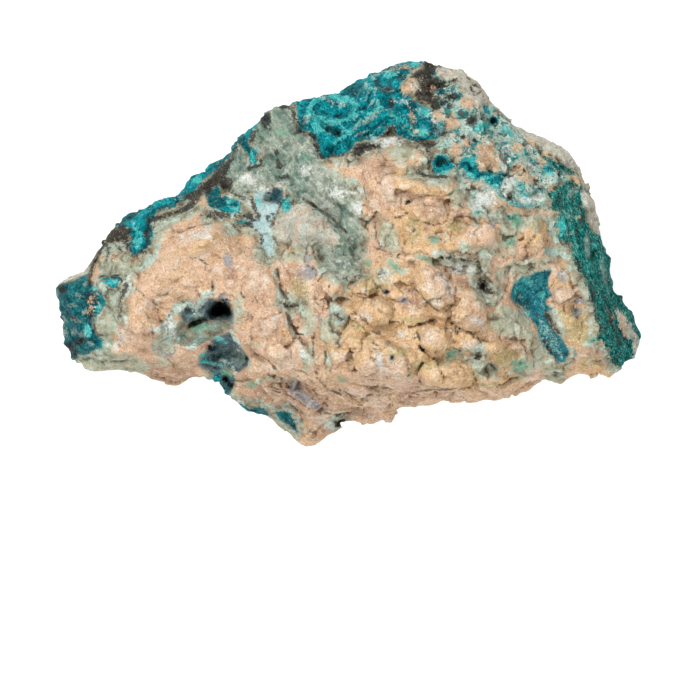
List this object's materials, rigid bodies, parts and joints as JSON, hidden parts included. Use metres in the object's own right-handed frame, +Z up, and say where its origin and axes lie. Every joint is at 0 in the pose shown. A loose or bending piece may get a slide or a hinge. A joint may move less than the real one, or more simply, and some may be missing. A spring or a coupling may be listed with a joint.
{
  "type": "chrysocolla specimen",
  "caption": "Rough hand-sized piece of tan and pink rock with a blue-green chrysocolla crust, an open vug and a flat underside to lie on.",
  "frame": {"origin": "middle of the stone's box at the surface that it lies on", "axes": "+X along the stone's length, towards the fibrous dark green band; +Y towards the crusted edge; +Z up, out of the face that shows"},
  "size_m": [0.0682, 0.0446, 0.0272],
  "materials": {
    "stone": "rough broken matrix rock, tan and pink, with a satin blue-green crust"
  },
  "bodies": {
    "root": {"specimen": "stone"}
  },
  "joints": []
}
